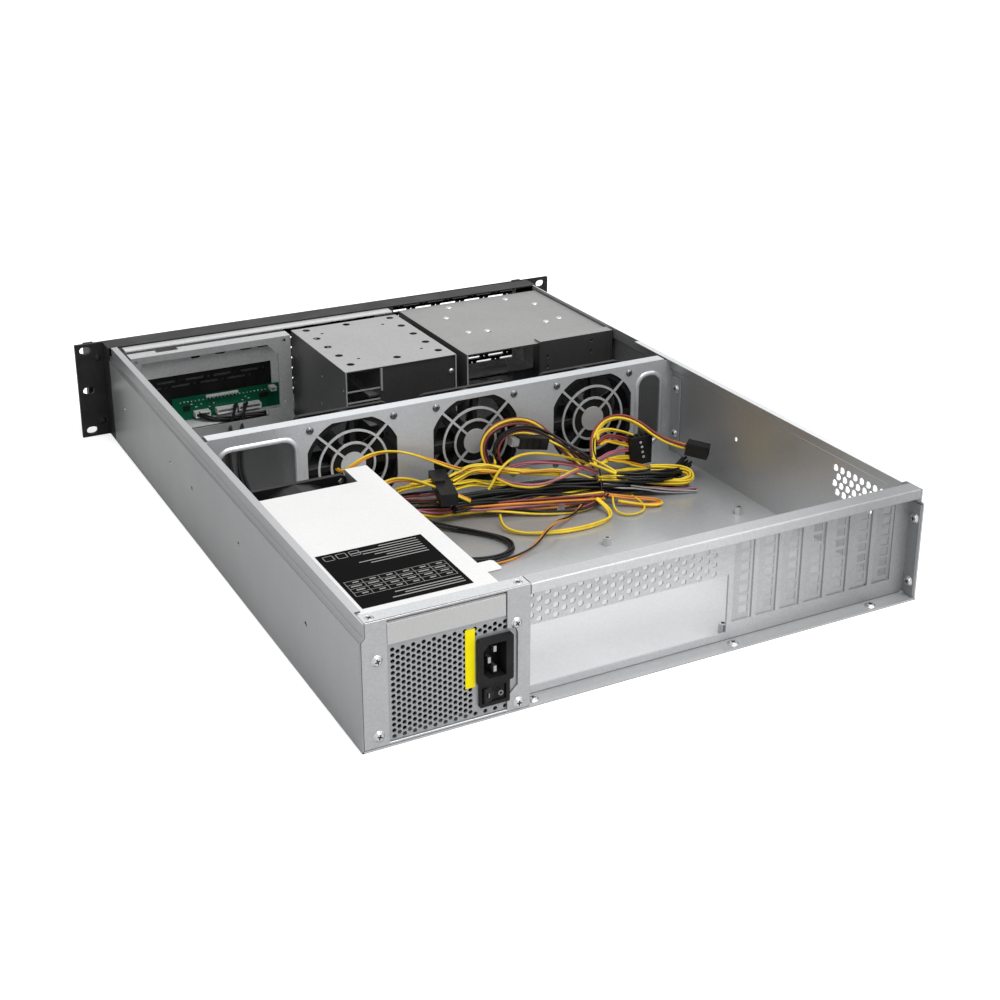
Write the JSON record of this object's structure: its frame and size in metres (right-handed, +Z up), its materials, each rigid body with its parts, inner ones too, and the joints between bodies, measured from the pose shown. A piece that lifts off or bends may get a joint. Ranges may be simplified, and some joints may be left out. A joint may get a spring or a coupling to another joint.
{
  "type": "rackmount server case",
  "caption": "Open two-unit rackmount server case with power supply, cable harness, fan wall, drive cages and a black front panel with rack ears.",
  "frame": {"origin": "centre of the underside of the whole case's box, handles and inlet included", "axes": "+X towards the power supply's side, +Y towards the rear, +Z up"},
  "size_m": [0.4826, 0.63, 0.0881],
  "materials": {
    "galvanised": "satin zinc-coated sheet",
    "cover_steel": "satin plated sheet",
    "supply_steel": "bright plated sheet",
    "black_paint": "fine black paint",
    "handle_metal": "black anodised",
    "black_plastic": "moulded",
    "gloss_black": "gloss",
    "fan_black": "moulded",
    "rotor_black": "moulded",
    "screw_metal": "plated",
    "pin_metal": "plated",
    "port_metal": "plain",
    "label_black": "satin film",
    "label_yellow": "satin film",
    "board_green": "solder mask",
    "header_white": "moulded",
    "lens_clear": "clear",
    "wire_mixed": "insulation",
    "wire_yellow": "insulation",
    "wire_black": "insulation",
    "connector_black": "moulded"
  },
  "bodies": {
    "case": {"chassis_tray": "galvanised", "rear_panel": "galvanised", "psu_frame": "galvanised", "fan_wall": "galvanised", "disk_cage": "galvanised", "disk_cage_divider": "galvanised", "wide_cage": "galvanised", "wide_cage_plate": "galvanised", "bay_frame": "galvanised", "front_wall": "galvanised", "slot_cover_1": "cover_steel", "slot_cover_2": "cover_steel", "slot_cover_3": "cover_steel", "slot_cover_4": "cover_steel", "slot_cover_5": "cover_steel", "slot_cover_6": "cover_steel", "slot_cover_7": "cover_steel", "psu_case": "supply_steel", "psu_cover": "supply_steel", "front_panel": "black_paint", "handle_left": "handle_metal", "handle_right": "handle_metal", "power_inlet": "black_plastic", "switch_housing": "black_plastic", "psu_grommet": "black_plastic", "cable_tie": "black_plastic", "psu_fan_frame": "fan_black", "fan_frame_1": "fan_black", "fan_frame_2": "fan_black", "fan_frame_3": "fan_black", "case_screws": "screw_metal", "fan_screws": "screw_metal", "standoffs": "screw_metal", "inlet_pins": "pin_metal", "usb_ports": "port_metal", "rating_label": "label_black", "voltage_label": "label_yellow", "front_board": "board_green", "board_headers": "header_white", "led_lenses": "lens_clear", "harness_trunk": "wire_mixed", "harness_hank": "wire_mixed", "loop_left": "wire_mixed", "loop_right": "wire_mixed", "fan_lead": "wire_yellow", "low_loop": "wire_yellow", "thin_pair": "wire_yellow", "black_loop": "wire_black", "main_connector": "connector_black", "drive_connector": "connector_black", "four_pin_connector": "connector_black", "floor_connector": "connector_black", "pair_connector": "connector_black"},
    "fan_1": {"fan_rotor_1": "rotor_black"},
    "fan_2": {"fan_rotor_2": "rotor_black"},
    "fan_3": {"fan_rotor_3": "rotor_black"},
    "supply_fan": {"psu_fan_rotor": "rotor_black"},
    "rocker": {"switch_rocker": "gloss_black"},
    "power": {"power_button": "gloss_black"},
    "reset": {"reset_button": "gloss_black"}
  },
  "joints": [
    {"name": "fan_1_spin", "type": "hinge", "parent": "case", "child": "fan_1", "pos_m": [0.0877, -0.0082, 0.0455], "axis": [0, 1, 0], "continuous": true},
    {"name": "fan_2_spin", "type": "hinge", "parent": "case", "child": "fan_2", "pos_m": [-0.0215, -0.0082, 0.0455], "axis": [0, 1, 0], "continuous": true},
    {"name": "fan_3_spin", "type": "hinge", "parent": "case", "child": "fan_3", "pos_m": [-0.134, -0.0082, 0.0455], "axis": [0, 1, 0], "continuous": true},
    {"name": "supply_fan_spin", "type": "hinge", "parent": "case", "child": "supply_fan", "pos_m": [0.1722, 0.11, 0.0427], "axis": [0, 1, 0], "continuous": true},
    {"name": "rocker_tip", "type": "hinge", "parent": "case", "child": "rocker", "pos_m": [0.127, 0.31, 0.01775], "axis": [0, 0, 1], "range_deg": [-18, 0]},
    {"name": "power_push", "type": "slide", "parent": "case", "child": "power", "axis": [0, 1, 0], "range_m": [0, 0.002], "stiffness_N_per_m": 300, "springref_m": -0.001},
    {"name": "reset_push", "type": "slide", "parent": "case", "child": "reset", "axis": [0, 1, 0], "range_m": [0, 0.002], "stiffness_N_per_m": 300, "springref_m": -0.001}
  ]
}
